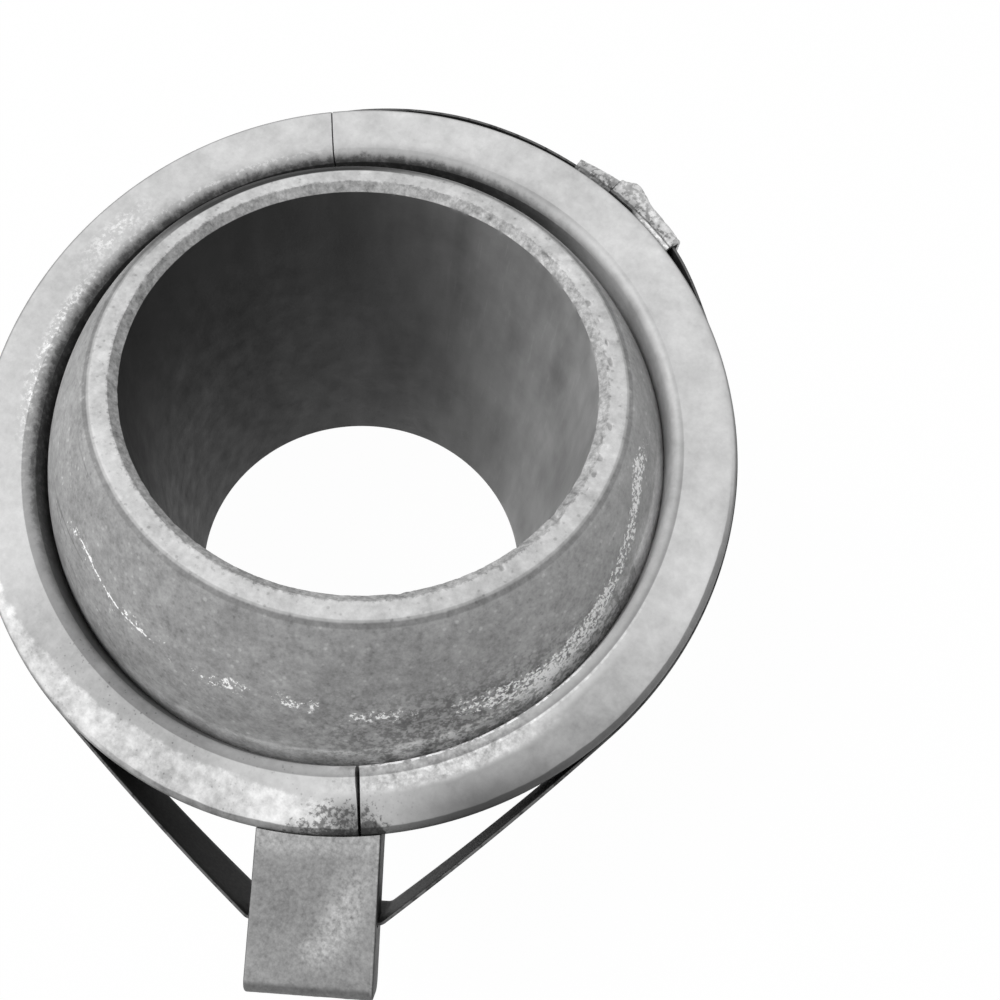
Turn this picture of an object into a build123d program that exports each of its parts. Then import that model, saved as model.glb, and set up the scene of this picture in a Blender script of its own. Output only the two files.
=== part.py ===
from build123d import *
import os
from math import acos, asin, atan2, cos, degrees, hypot, radians, sin, sqrt, tan

# Spherical plain bearing with a split outer ring
#
# The inner ring stands on one end face. Its outside is a ball. The outer ring is
# cut lengthwise into two halves that close round the ball, and one steel strap
# holds the halves together. The strap is drawn over a small slotted block and its
# overlapped ends are held by two folded seals.
#
# All lengths are in millimetres and all angles in degrees. The origin is the
# centre of the ball, which is also the middle of the bore, and +Z is the bore axis.
# The outer ring and everything strapped to it is drawn upright first, round the
# same +Z, and is leaned over about X at the end. An azimuth is measured from +X
# towards +Y, and a height is measured along the outer ring's own axis.

# Sizes of the two rings. The ball and the outside follow from the walls' thickness
BORE_DIAMETER = 105.0
INNER_WIDTH = 109.0
INNER_WALL_AT_FACE = 6.745
OUTER_WALL_AT_SEAT = 9.44
OUTER_WIDTH = 75.0

# Edges and fits of the two rings
BORE_CHAMFER = 1.7
BALL_EDGE_CHAMFER = 0.9
SEAT_CLEARANCE = 0.06
OUTER_EDGE_RADIUS = 1.8
MOUTH_RELIEF = 4.1
MOUTH_BEVEL_WIDTH = 2.0
MOUTH_BEVEL_DEPTH = 2.1

# The cut that parts the outer ring into halves
JOINT_AZIMUTH = 124.2
TIGHT_JOINT_GAP = 0.15
OPEN_JOINT_GAP = 0.7

# At rest the outer ring leans until its low edge is this far from the floor
REST_CLEARANCE = 0.13

# The strap, and where it lifts off the ring on its way into the seals
STRAP_WIDTH = 19.0
STRAP_THICKNESS = 0.6
STRAP_FRONT_SETBACK = 3.3
STRAP_FIT = 0.05
LIFT_START_AZIMUTH = 134.0
LIFT_END_AZIMUTH = 46.0
LOWER_END_AZIMUTH = 64.5
LOWER_END_RISE = 2.0
UPPER_END_AZIMUTH = 81.0
# Azimuth along the strap's loose stretch, and its rise off the ring there
LOOSE_STRETCH = [(73.0, 1.9), (81.0, 1.8), (92.0, 2.1), (105.0, 2.3), (118.0, 1.6)]
# Azimuths at which the strap's other end rides over the lower one
RIDING_AZIMUTHS = [61.5, 65.5]

# The block under the strap, and its slot
BLOCK_AZIMUTH = -61.6
BLOCK_WIDTH = 27.0
BLOCK_DEPTH = 11.6
BLOCK_FRONT_SETBACK = 0.9
BLOCK_RISE = 32.0
BLOCK_TOE_RADIUS = 3.0
BLOCK_EDGE_RADIUS = 0.6
SLOT_CLEARANCE = 0.3

# The strap at the block. Its front edge lies in the slot, and its rear edge hangs
# free behind the block and is drawn closer to the ring, so the strap is twisted there
FRONT_EDGE_RISE = 17.05
REAR_EDGE_RISE = 15.3
FRONT_BEND_OVERHANG = 2.5
REAR_BEND_OVERHANG = 3.0
STRAP_BEND_RADIUS = 6.0
RUN_BOW = 0.6

# The two folded seals
SEAL_SHEET = 0.8
SEAL_ROOM = 0.1
SEAL_LIP_WIDTH = 6.5
SEAL_FOLD_RADIUS = 1.2
SEAL_UNDERSIDE_RISE = 0.75
HUMP_FOOT_AZIMUTH = 70.6
HUMP_UNDERSIDE_RISE = 2.3
# Azimuth along the back of each seal, and its rise off the ring there
SHORT_SEAL_BACK = [(75.7, 5.4), (79.0, 4.9), (82.6, 4.3)]
LONG_SEAL_BACK = [(62.4, 5.4), (66.0, 5.6), (69.8, 6.1), (71.6, 7.2), (73.6, 7.8), (75.2, 6.4)]
SEAL_OVERCUT = 1.0

# Sizes of the rings that follow from the ones above
BORE_RADIUS = BORE_DIAMETER / 2
INNER_HALF = INNER_WIDTH / 2
OUTER_HALF = OUTER_WIDTH / 2
BALL_FACE_RADIUS = BORE_RADIUS + INNER_WALL_AT_FACE
BALL_RADIUS = hypot(BALL_FACE_RADIUS, INNER_HALF)
SEAT_RADIUS = BALL_RADIUS + SEAT_CLEARANCE
OUTER_RADIUS = SEAT_RADIUS + OUTER_WALL_AT_SEAT
MOUTH_WALL_RADIUS = sqrt(SEAT_RADIUS**2 - OUTER_HALF**2) + MOUTH_RELIEF
MOUTH_RADIUS_AT_FACE = MOUTH_WALL_RADIUS + MOUTH_BEVEL_WIDTH
SEAT_HALF = sqrt(SEAT_RADIUS**2 - MOUTH_WALL_RADIUS**2)

# Places of the strap and the block that follow from the ones above
STRAP_INNER_RADIUS = OUTER_RADIUS + STRAP_FIT
STRAP_FRONT_HEIGHT = OUTER_HALF - STRAP_FRONT_SETBACK
STRAP_BACK_HEIGHT = STRAP_FRONT_HEIGHT - STRAP_WIDTH
BLOCK_FRONT_HEIGHT = OUTER_HALF - BLOCK_FRONT_SETBACK
BLOCK_BACK_HEIGHT = BLOCK_FRONT_HEIGHT - BLOCK_DEPTH
BLOCK_REACH = OUTER_RADIUS + BLOCK_RISE


def at_azimuth(radius, azimuth):
    """A point in the plane of the rings, given by its distance and direction."""
    return (radius * cos(radians(azimuth)), radius * sin(radians(azimuth)))


def round_direction(azimuth):
    """The direction of travel round the ring, towards larger azimuths."""
    return (-sin(radians(azimuth)), cos(radians(azimuth)))


def raised(stretch, extra=0.0):
    """Azimuths and radii from a list of azimuths and rises off the outer ring."""
    return [(azimuth, OUTER_RADIUS + rise + extra) for azimuth, rise in stretch]


def rest_lean():
    """The lean at which the outer ring's low edge all but meets the floor."""
    edge_radius = OUTER_RADIUS - OUTER_EDGE_RADIUS
    edge_height = OUTER_HALF - OUTER_EDGE_RADIUS
    drop = INNER_HALF - REST_CLEARANCE - OUTER_EDGE_RADIUS
    return degrees(asin(drop / hypot(edge_radius, edge_height)) - atan2(edge_height, edge_radius))


# Inner ring


def inner_ring():
    """A ball cut flat at both ends, with a plain bore."""
    chamfered_radius = BORE_RADIUS + BORE_CHAMFER
    wall_half = INNER_HALF - BORE_CHAMFER
    face_radius = BALL_FACE_RADIUS - BALL_EDGE_CHAMFER
    ball_half = INNER_HALF - BALL_EDGE_CHAMFER
    edge_radius = sqrt(BALL_RADIUS**2 - ball_half**2)
    with BuildPart() as ring:
        with BuildSketch(Plane.XZ):
            with BuildLine():
                Polyline(
                    (edge_radius, -ball_half),
                    (face_radius, -INNER_HALF),
                    (chamfered_radius, -INNER_HALF),
                    (BORE_RADIUS, -wall_half),
                    (BORE_RADIUS, wall_half),
                    (chamfered_radius, INNER_HALF),
                    (face_radius, INNER_HALF),
                    (edge_radius, ball_half),
                )
                ThreePointArc((edge_radius, ball_half), (BALL_RADIUS, 0), (edge_radius, -ball_half))
            make_face()
        revolve(axis=Axis.Z)
    return ring.part


# Outer ring


def mouth_edge(side):
    """The rounded bevel at one mouth, from the end face to the mouth's straight wall."""
    leg = MOUTH_RADIUS_AT_FACE - MOUTH_WALL_RADIUS
    wall_end = OUTER_HALF - MOUTH_BEVEL_DEPTH
    at_face = (MOUTH_RADIUS_AT_FACE, side * OUTER_HALF)
    halfway = (
        MOUTH_RADIUS_AT_FACE - leg * sin(radians(45)),
        side * (wall_end + MOUTH_BEVEL_DEPTH * cos(radians(45))),
    )
    at_wall = (MOUTH_WALL_RADIUS, side * wall_end)
    return ThreePointArc(at_face, halfway, at_wall)


def outside_edge(side):
    """The rounded outer edge at one end, from the end face to the outside."""
    centre_radius = OUTER_RADIUS - OUTER_EDGE_RADIUS
    centre_height = OUTER_HALF - OUTER_EDGE_RADIUS
    at_face = (centre_radius, side * OUTER_HALF)
    halfway = (
        centre_radius + OUTER_EDGE_RADIUS * sin(radians(45)),
        side * (centre_height + OUTER_EDGE_RADIUS * cos(radians(45))),
    )
    at_outside = (OUTER_RADIUS, side * centre_height)
    return ThreePointArc(at_face, halfway, at_outside)


def whole_outer_ring():
    """The outer ring before it is parted: spherical seat, two mouths, round outside."""
    with BuildPart() as ring:
        with BuildSketch(Plane.XZ):
            with BuildLine():
                ThreePointArc((MOUTH_WALL_RADIUS, -SEAT_HALF), (SEAT_RADIUS, 0), (MOUTH_WALL_RADIUS, SEAT_HALF))
                outsides = []
                for side in (1, -1):
                    mouth = mouth_edge(side)
                    outside = outside_edge(side)
                    Line((MOUTH_WALL_RADIUS, side * SEAT_HALF), mouth @ 1)
                    Line(mouth @ 0, outside @ 0)
                    outsides.append(outside @ 1)
                Line(*outsides)
            make_face()
        revolve(axis=Axis.Z)
    return ring.part


def outer_ring_half(side):
    """One half of the outer ring, on one side of the slightly wedge-shaped joint."""
    tight_edge = side * TIGHT_JOINT_GAP / 2
    open_edge = side * OPEN_JOINT_GAP / 2
    far = OUTER_RADIUS * 2
    with BuildPart() as cover:
        with BuildSketch():
            with BuildLine():
                Polyline(
                    (far, tight_edge),
                    (OUTER_RADIUS, tight_edge),
                    (-OUTER_RADIUS, open_edge),
                    (-far, open_edge),
                    (-far, side * far),
                    (far, side * far),
                    close=True,
                )
            make_face()
        extrude(amount=OUTER_WIDTH, both=True)
    with BuildPart() as half:
        add(whole_outer_ring())
        add(cover.part.rotate(Axis.Z, JOINT_AZIMUTH), mode=Mode.INTERSECT)
    return half.part


# Steel strap


def block_point(across, reach):
    """A point given by its distance across the block and its reach from the axis."""
    outwards = at_azimuth(reach, BLOCK_AZIMUTH)
    sideways = round_direction(BLOCK_AZIMUTH)
    return (outwards[0] + across * sideways[0], outwards[1] + across * sideways[1])


def run_angle():
    """How far round from the block's direction the straight runs touch the ring."""
    corner = BLOCK_WIDTH / 2 + FRONT_BEND_OVERHANG
    reach = OUTER_RADIUS + FRONT_EDGE_RISE
    return degrees(acos(STRAP_INNER_RADIUS / hypot(reach, corner)) + atan2(corner, reach))


def left_side_line(offset):
    """One side of the strap from its lower end, round the left, to where its run starts."""
    radius = STRAP_INNER_RADIUS + offset
    touch_azimuth = BLOCK_AZIMUTH - run_angle()
    lift_start = at_azimuth(radius, LIFT_START_AZIMUTH)
    middle = at_azimuth(radius, (LIFT_START_AZIMUTH + touch_azimuth + 360) / 2)
    lower_end = raised([(LOWER_END_AZIMUTH, LOWER_END_RISE)], offset)
    loose = raised(LOOSE_STRETCH, offset)
    return [
        Spline(
            *[at_azimuth(r, azimuth) for azimuth, r in lower_end + loose],
            lift_start,
            tangents=(round_direction(LOWER_END_AZIMUTH), round_direction(LIFT_START_AZIMUTH)),
        ),
        ThreePointArc(lift_start, middle, at_azimuth(radius, touch_azimuth)),
    ]


def right_side_line(offset):
    """One side of the strap from the end of its run, round the right, to its upper end."""
    radius = STRAP_INNER_RADIUS + offset
    touch_azimuth = BLOCK_AZIMUTH + run_angle()
    lift_end = at_azimuth(radius, LIFT_END_AZIMUTH)
    middle = at_azimuth(radius, (LIFT_END_AZIMUTH + touch_azimuth) / 2)
    # Where the two ends lie on each other, the upper one rides this much further out
    riding = STRAP_THICKNESS + STRAP_FIT + offset
    climbing = raised([(azimuth, LOWER_END_RISE) for azimuth in RIDING_AZIMUTHS], riding)
    settled = raised(LOOSE_STRETCH[:2], riding)
    return [
        ThreePointArc(at_azimuth(radius, touch_azimuth), middle, lift_end),
        Spline(
            lift_end,
            *[at_azimuth(r, azimuth) for azimuth, r in climbing + settled],
            tangents=(round_direction(LIFT_END_AZIMUTH), round_direction(UPPER_END_AZIMUTH)),
        ),
    ]


def block_side_line(offset, rise, overhang):
    """One side of the strap's front or rear edge, from ring to block and back.

    The rise is that edge's distance from the ring at the block, and the overhang is how
    far its bends lie beyond the block's sides.
    """
    radius = STRAP_INNER_RADIUS + offset
    reach = OUTER_RADIUS + rise
    corner = BLOCK_WIDTH / 2 + overhang
    run = run_angle()
    level_end = corner - STRAP_BEND_RADIUS * tan(radians(run) / 2)

    def bend_point(side, turned):
        bend = STRAP_BEND_RADIUS + offset
        across = level_end + bend * sin(radians(turned))
        return block_point(side * across, reach - STRAP_BEND_RADIUS + bend * cos(radians(turned)))

    def bowed_run(start, end, side):
        outwards = at_azimuth(RUN_BOW, BLOCK_AZIMUTH + side * run)
        middle = tuple((a + b) / 2 + out for a, b, out in zip(start, end, outwards))
        return ThreePointArc(start, middle, end)

    left_touch = at_azimuth(radius, BLOCK_AZIMUTH - run)
    right_touch = at_azimuth(radius, BLOCK_AZIMUTH + run)
    return [
        bowed_run(left_touch, bend_point(-1, run), -1),
        ThreePointArc(bend_point(-1, run), bend_point(-1, run / 2), bend_point(-1, 0)),
        Line(bend_point(-1, 0), bend_point(1, 0)),
        ThreePointArc(bend_point(1, 0), bend_point(1, run / 2), bend_point(1, run)),
        bowed_run(bend_point(1, run), right_touch, 1),
    ]


def seen_end_on(inner, outer, height):
    """The face between the strap's two sides, at a height."""
    first_cut = Line(inner[0] @ 0, outer[0] @ 0)
    last_cut = Line(inner[-1] @ 1, outer[-1] @ 1)
    return Pos(0, 0, height) * make_face([*inner, last_cut, *outer, first_cut])


def steel_strap():
    """One band: round the ring, over the block, and over its own other end."""
    bands = []
    for side_line in (left_side_line, right_side_line):
        end_on = seen_end_on(side_line(0), side_line(STRAP_THICKNESS), STRAP_BACK_HEIGHT)
        bands.append(extrude(end_on, STRAP_WIDTH))
    edges = []
    for height, rise, overhang in (
        (STRAP_BACK_HEIGHT, REAR_EDGE_RISE, REAR_BEND_OVERHANG),
        (STRAP_FRONT_HEIGHT, FRONT_EDGE_RISE, FRONT_BEND_OVERHANG),
    ):
        inner = block_side_line(0, rise, overhang)
        outer = block_side_line(STRAP_THICKNESS, rise, overhang)
        edges.append(seen_end_on(inner, outer, height))
    twisted = loft(edges, ruled=True)
    return bands[0] + twisted + bands[1]


# Folded seals


def seal_slab(under_radius, back, low, high):
    """A slab lying round the ring between a radius and a curved back, low to high."""
    first, last = back[0][0], back[-1][0]
    back_points = [at_azimuth(radius, azimuth) for azimuth, radius in back]
    under_points = [at_azimuth(under_radius, azimuth) for azimuth in (first, (first + last) / 2, last)]
    over = Spline(*back_points)
    under = ThreePointArc(*under_points)
    face = make_face([over, Line(over @ 1, under @ 1), under, Line(under @ 0, over @ 0)])
    return Pos(0, 0, low) * extrude(face, high - low)


def widened(back, change):
    """The same back moved in or out, and carried past both of its ends."""
    moved = [(azimuth, radius + change) for azimuth, radius in back]
    before = (moved[0][0] - SEAL_OVERCUT, moved[0][1])
    after = (moved[-1][0] + SEAL_OVERCUT, moved[-1][1])
    return [before, *moved, after]


def folded_seal(back):
    """A sheet sleeve folded round both layers of the strap, open along its underside."""
    inside_low = STRAP_BACK_HEIGHT - SEAL_ROOM
    inside_high = STRAP_FRONT_HEIGHT + SEAL_ROOM
    low = inside_low - SEAL_SHEET
    high = inside_high + SEAL_SHEET
    underside = OUTER_RADIUS + SEAL_UNDERSIDE_RISE
    inside_radius = underside + SEAL_SHEET
    body = seal_slab(underside, back, low, high)
    folds = body.edges().filter_by(Plane.XY).sort_by(SortBy.LENGTH)[-4:]
    body = fillet(folds, SEAL_FOLD_RADIUS)
    room = seal_slab(inside_radius, widened(back, -SEAL_SHEET), inside_low, inside_high)
    opening = seal_slab(
        underside - SEAL_OVERCUT,
        [(azimuth, inside_radius + SEAL_SHEET) for azimuth, radius in widened(back, 0)],
        inside_low + SEAL_LIP_WIDTH,
        inside_high - SEAL_LIP_WIDTH,
    )
    return body - room - opening


def strap_seal_short():
    """The short seal, lying flat on the ring."""
    return folded_seal(raised(SHORT_SEAL_BACK))


def strap_seal_long():
    """The long seal, whose raised end rides up beside the short one and has no lips."""
    seal = folded_seal(raised(LONG_SEAL_BACK))
    raised_end = LONG_SEAL_BACK[-1][0] + SEAL_OVERCUT
    halfway = (HUMP_FOOT_AZIMUTH + raised_end) / 2
    azimuths = (HUMP_FOOT_AZIMUTH, halfway, raised_end)
    lipless = raised([(azimuth, HUMP_UNDERSIDE_RISE) for azimuth in azimuths])
    cut = seal_slab(OUTER_RADIUS, lipless, 0, OUTER_HALF)
    return seal - cut


# Slotted block


def spacer_block():
    """A small block hollowed to sit on the ring, with a slot for the strap."""
    length = BLOCK_REACH - OUTER_RADIUS / 2
    body = Pos(BLOCK_REACH - length / 2, 0, BLOCK_FRONT_HEIGHT - BLOCK_DEPTH / 2) * Box(
        length, BLOCK_WIDTH, BLOCK_DEPTH
    )
    toes = body.faces().sort_by(Axis.X)[-1].edges().filter_by(Axis.Y)
    body = fillet(toes, BLOCK_TOE_RADIUS)
    rims = [edge for side in body.faces().filter_by(Axis.Y) for edge in side.edges()]
    rims = [edge for edge in rims if edge.center().X > OUTER_RADIUS / 2]
    body = fillet([edge for edge in rims if not edge.is_interior], BLOCK_EDGE_RADIUS)
    saddle = Cylinder(STRAP_INNER_RADIUS, OUTER_WIDTH * 2)
    # The twisted strap meets the slot's floor at the back and stands clear of it in front
    share = (BLOCK_BACK_HEIGHT - STRAP_BACK_HEIGHT) / STRAP_WIDTH
    floor_rise = REAR_EDGE_RISE + share * (FRONT_EDGE_RISE - REAR_EDGE_RISE) - STRAP_FIT
    roof_rise = FRONT_EDGE_RISE + STRAP_THICKNESS + SLOT_CLEARANCE
    slot_depth = STRAP_FRONT_HEIGHT + SLOT_CLEARANCE - BLOCK_BACK_HEIGHT
    slot = Pos(
        OUTER_RADIUS + (floor_rise + roof_rise) / 2,
        0,
        BLOCK_BACK_HEIGHT + slot_depth / 2,
    ) * Box(roof_rise - floor_rise, BLOCK_WIDTH * 2, slot_depth)
    body = body - saddle - slot
    return body.rotate(Axis.Z, BLOCK_AZIMUTH)


# Putting the pieces in place

UPRIGHT = {"inner_ring": inner_ring()}
LEANING = {
    "outer_ring_left_half": outer_ring_half(1),
    "outer_ring_right_half": outer_ring_half(-1),
    "steel_strap": steel_strap(),
    "strap_seal_short": strap_seal_short(),
    "strap_seal_long": strap_seal_long(),
    "spacer_block": spacer_block(),
}

os.makedirs("parts", exist_ok=True)
for node, piece in UPRIGHT.items():
    export_step(piece, f"parts/{node}.step")
for node, piece in LEANING.items():
    export_step(piece.rotate(Axis.X, rest_lean()), f"parts/{node}.step")
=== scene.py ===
# %% [markdown]
# # A spherical plain bearing in its strap
#
# The object is a heavy bearing of two steel rings. The inner ring is a ball with a
# bore through it. The outer ring is cracked lengthwise into two halves that close
# round the ball, and a steel strap, drawn over a small slotted block and locked by two
# folded seals, holds the halves together.
#
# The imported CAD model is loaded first. It is the frame that every piece is built in,
# so nothing has to be fitted by eye.

# %% Load the frame
from math import acos, atan2, cos, degrees, hypot, pi, radians, sin, sqrt, tan

import bmesh
import bpy
from mathutils import Matrix, Vector, noise


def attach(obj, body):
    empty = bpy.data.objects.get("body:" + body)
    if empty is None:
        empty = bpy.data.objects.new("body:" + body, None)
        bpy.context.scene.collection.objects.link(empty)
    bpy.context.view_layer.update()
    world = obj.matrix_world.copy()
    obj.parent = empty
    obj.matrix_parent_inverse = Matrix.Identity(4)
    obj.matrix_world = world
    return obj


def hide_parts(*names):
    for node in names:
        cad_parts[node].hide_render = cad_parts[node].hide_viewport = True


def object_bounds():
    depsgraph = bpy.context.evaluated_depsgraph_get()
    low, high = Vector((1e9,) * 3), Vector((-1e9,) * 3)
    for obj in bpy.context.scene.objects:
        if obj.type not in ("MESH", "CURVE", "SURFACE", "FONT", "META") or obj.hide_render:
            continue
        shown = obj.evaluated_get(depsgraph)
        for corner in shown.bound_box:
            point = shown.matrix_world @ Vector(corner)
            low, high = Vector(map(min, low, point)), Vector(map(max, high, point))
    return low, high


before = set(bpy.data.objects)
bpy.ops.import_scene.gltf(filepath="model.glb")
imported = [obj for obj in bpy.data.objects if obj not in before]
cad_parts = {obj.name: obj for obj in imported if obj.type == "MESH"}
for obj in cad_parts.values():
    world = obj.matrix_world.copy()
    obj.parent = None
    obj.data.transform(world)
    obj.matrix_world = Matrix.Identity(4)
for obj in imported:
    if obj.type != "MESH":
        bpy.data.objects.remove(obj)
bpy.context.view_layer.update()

# %% [markdown]
# The sizes below repeat the CAD model's driving dimensions in millimetres, because the
# shown pieces follow the same outlines. Angles are in degrees. A piece of the outer
# ring is drawn upright round the bore axis and leaned over about X at the end, so an
# azimuth is measured from +X and a height along the outer ring's own axis. A rise is a
# distance off the outer ring's outside, and a reach a distance from the axis.

# %% Sizes of the rings
MM = 0.001
BORE_RADIUS = 52.5
BORE_CHAMFER = 1.7
INNER_HALF = 54.5
BALL_RADIUS = 80.5
BALL_EDGE = 0.9
OUTER_RADIUS = 90.0
OUTER_HALF = 37.5
OUTER_EDGE = 2.2
SEAT_RADIUS = 80.56
MOUTH_FACE_RADIUS = 77.4
MOUTH_WALL_RADIUS = 75.4
MOUTH_BEVEL = 2.1
JOINT_AZIMUTH = 124.2
LEAN = 11.502

LEAN_OVER = Matrix.Rotation(radians(LEAN), 4, "X")
print("the outer ring leans", LEAN, "degrees")

# %% [markdown]
# ## Camera
#
# The photograph looks down into the bore from the front. A camera can be found from
# such a picture, because circles of known size seen as ellipses fix where it stood and
# how long its lens is. The place and the three directions below come from such a fit,
# and the shift puts the object off centre in the frame, as it is there.

# %% Set the camera
CAMERA_PLACE = (60.19, -93.35, 207.49)
CAMERA_RIGHT = (0.85230, 0.52188, 0.03501)
CAMERA_UP = (-0.49373, 0.78062, 0.38322)
CAMERA_BACK = (0.17267, -0.34390, 0.92299)

lens = bpy.data.cameras.new("bearing_camera")
lens.sensor_width = 36.0
lens.lens = 30.376
lens.shift_x = 0.10265
lens.shift_y = 0.0691
lens.clip_start = 0.005
camera = bpy.data.objects.new("bearing_camera", lens)
turn = Matrix((CAMERA_RIGHT, CAMERA_UP, CAMERA_BACK)).transposed().to_4x4()
camera.matrix_world = Matrix.Translation(Vector(CAMERA_PLACE) * MM) @ turn
bpy.context.collection.objects.link(camera)
bpy.context.scene.camera = camera
bpy.context.scene.view_settings.view_transform = "Standard"
print("camera stands", round(Vector(CAMERA_PLACE).length), "mm from the ball's centre")

# %% [markdown]
# ## Shader maths
#
# Patterns are easier to read as sums than as trees of boxes. The small class below wraps
# a socket, so that `a * 0.5 + b` adds the two Math nodes itself. Colours and vectors
# go through Mix and Vector Math instead, which keep all three channels.

# %% A socket that can be reckoned with
class Wire:
    """One output socket of a material, with arithmetic."""

    def __init__(self, finish, socket):
        self.finish = finish
        self.socket = socket

    def maths(self, operation, *values):
        return self.finish.add("ShaderNodeMath", {"operation": operation}, *values)

    def __add__(self, other):
        return self.maths("ADD", self, other)

    def __mul__(self, other):
        return self.maths("MULTIPLY", self, other)

    def __sub__(self, other):
        return self.maths("SUBTRACT", self, other)

    def __rsub__(self, other):
        return self.maths("SUBTRACT", other, self)

    def __truediv__(self, other):
        return self.maths("DIVIDE", self, other)

    def __pow__(self, other):
        return self.maths("POWER", self, other)

    __radd__ = __add__
    __rmul__ = __mul__

    def over(self, edge, softness):
        """0 below the edge and 1 above it, softly."""
        span = {"interpolation_type": "SMOOTHSTEP"}
        return self.finish.add("ShaderNodeMapRange", span, self, edge - softness, edge + softness)

    def under(self, edge, softness):
        return 1.0 - self.over(edge, softness)

    def size(self):
        """The value without its sign."""
        return self.maths("ABSOLUTE", self)

    def near(self, middle, reach, softness):
        """1 within reach of a middle value, and 0 away from it."""
        return (self - middle).size().under(reach, softness)

    def facing(self, middle, reach, softness):
        """The same for an azimuth near 0, where 360 stands for 0 too."""
        return self.near(middle, reach, softness).most(self.near(middle + 360, reach, softness))

    def most(self, other):
        return self.maths("MAXIMUM", self, other)


# %% [markdown]
# A finish is one material. It starts with the object's own coordinates in millimetres,
# optionally turned back upright, and offers the few patterns that worn steel needs:
# soft clouds, scattered specks, and the angle and distance round the axis. Faces far
# apart in grey are then laid over each other where they belong.

# %% A material under construction
class Finish:
    """A node material with one Principled shader."""

    def __init__(self, name, leaning=True):
        self.material = bpy.data.materials.new(name)
        self.material.use_nodes = True
        self.nodes = self.material.node_tree.nodes
        self.links = self.material.node_tree.links
        self.nodes.clear()
        self.shader = self.nodes.new("ShaderNodeBsdfPrincipled")
        output = self.nodes.new("ShaderNodeOutputMaterial")
        self.links.new(self.shader.outputs[0], output.inputs["Surface"])
        coordinates = self.nodes.new("ShaderNodeTexCoord").outputs["Object"]
        placing = self.nodes.new("ShaderNodeMapping")
        self.links.new(coordinates, placing.inputs["Vector"])
        placing.inputs["Scale"].default_value = (1000, 1000, 1000)
        if leaning:
            placing.inputs["Rotation"].default_value = (radians(-LEAN), 0, 0)
        self.place = Wire(self, placing.outputs["Vector"])
        parts = self.nodes.new("ShaderNodeSeparateXYZ")
        self.links.new(placing.outputs["Vector"], parts.inputs[0])
        self.x, self.y, self.height = (Wire(self, socket) for socket in parts.outputs)

    def add(self, kind, settings, *values, **named):
        """Adds a node, makes its settings, then fills its sockets with values or wires."""
        node = self.nodes.new(kind)
        for key, value in settings.items():
            if key == "stops":
                self._set_stops(node.color_ramp, value)
            else:
                setattr(node, key, value)
        for key, value in [*enumerate(values), *named.items()]:
            socket = node.inputs[key]
            if isinstance(value, Wire):
                self.links.new(value.socket, socket)
            else:
                socket.default_value = value
        return Wire(self, node.outputs[0])

    def _set_stops(self, ramp, stops):
        while len(ramp.elements) < len(stops):
            ramp.elements.new(1.0)
        for element, (position, value) in zip(ramp.elements, stops):
            element.position = position
            element.color = (value, value, value, 1.0)

    def radius(self):
        squares = self.x * self.x + self.y * self.y
        return squares.maths("SQRT", squares)

    def azimuth(self):
        """The direction round the axis from 0 to 360 degrees, measured from +X."""
        angle = self.x.maths("ARCTAN2", self.y, self.x) * (180 / pi)
        return angle.maths("WRAP", angle, 360.0, 0.0)

    def cloud(self, size, detail=4.0, roughness=0.55, seed=0.0, stretch=(1, 1, 1)):
        """Soft noise from 0 to 1 whose features are about size millimetres across."""
        scaled = self.add(
            "ShaderNodeVectorMath",
            {"operation": "MULTIPLY_ADD"},
            self.place,
            tuple(s / size for s in stretch),
            (seed, seed * 0.7, -seed),
        )
        return self.add(
            "ShaderNodeTexNoise",
            {"noise_dimensions": "3D"},
            Vector=scaled,
            Scale=1.0,
            Detail=detail,
            Roughness=roughness,
        )

    def flakes(self, size, seed=0.0):
        """The distance to the nearest of many scattered points, about size apart.

        It is given in sizes, so a low limit on it leaves a small round speck at each point.
        """
        scaled = self.add(
            "ShaderNodeVectorMath",
            {"operation": "MULTIPLY_ADD"},
            self.place,
            (1 / size, 1 / size, 1 / size),
            (seed, -seed, seed * 0.4),
        )
        return self.add("ShaderNodeTexVoronoi", {"feature": "F1"}, Vector=scaled, Scale=1.0)

    def follow(self, azimuth, table, low, high):
        """A value from low to high that follows a table of azimuths and values."""
        stops = [(place / 360, (value - low) / (high - low)) for place, value in table]
        share = self.add("ShaderNodeValToRGB", {"stops": stops}, azimuth / 360.0)
        return share * (high - low) + low

    def grey(self, value):
        """A grey colour from a number or a wire."""
        if not isinstance(value, Wire):
            return (value, value, value, 1.0)
        return self.add("ShaderNodeCombineColor", {}, value, value, value)

    def finish(self, shade, roughness, metallic, bump=None, depth=0.05):
        """Connects shade, roughness and metallic, each a number or a wire, and the bump."""
        values = {"Base Color": self.grey(shade), "Roughness": roughness, "Metallic": metallic}
        for name, value in values.items():
            socket = self.shader.inputs[name]
            if isinstance(value, Wire):
                self.links.new(value.socket, socket)
            else:
                socket.default_value = value
        if bump is not None:
            relief = self.add("ShaderNodeBump", {}, Strength=1.0, Distance=depth * MM, Height=bump)
            self.links.new(relief.socket, self.shader.inputs["Normal"])
        print(self.material.name, "has", len(self.nodes), "nodes")
        return self.material


def choose(mask, first, second):
    """The first value where the mask is 0, and the second where it is 1."""
    return first + (second - first) * mask


# %% [markdown]
# ## How the steel is painted
#
# The rings are ground, then handled and stored: dull and blotchy, with dark specks,
# burnished edges and stains. In each finish a first coat of shade comes from three or
# four sizes of cloud, from `broad` to `grain`, each shifted to lie round 0. The rest is
# painted where it lies on the ring. So `azimuth.near(262, 26, 12)` is a patch that
# spans 26 degrees each way from 262 and fades out over 12, and `radius.over(85, 3.2)`
# is everything outside a radius of 85, with an edge 3.2 soft each way. Products of
# such masks make a place, and a cloud added to one frays its edge.

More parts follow.
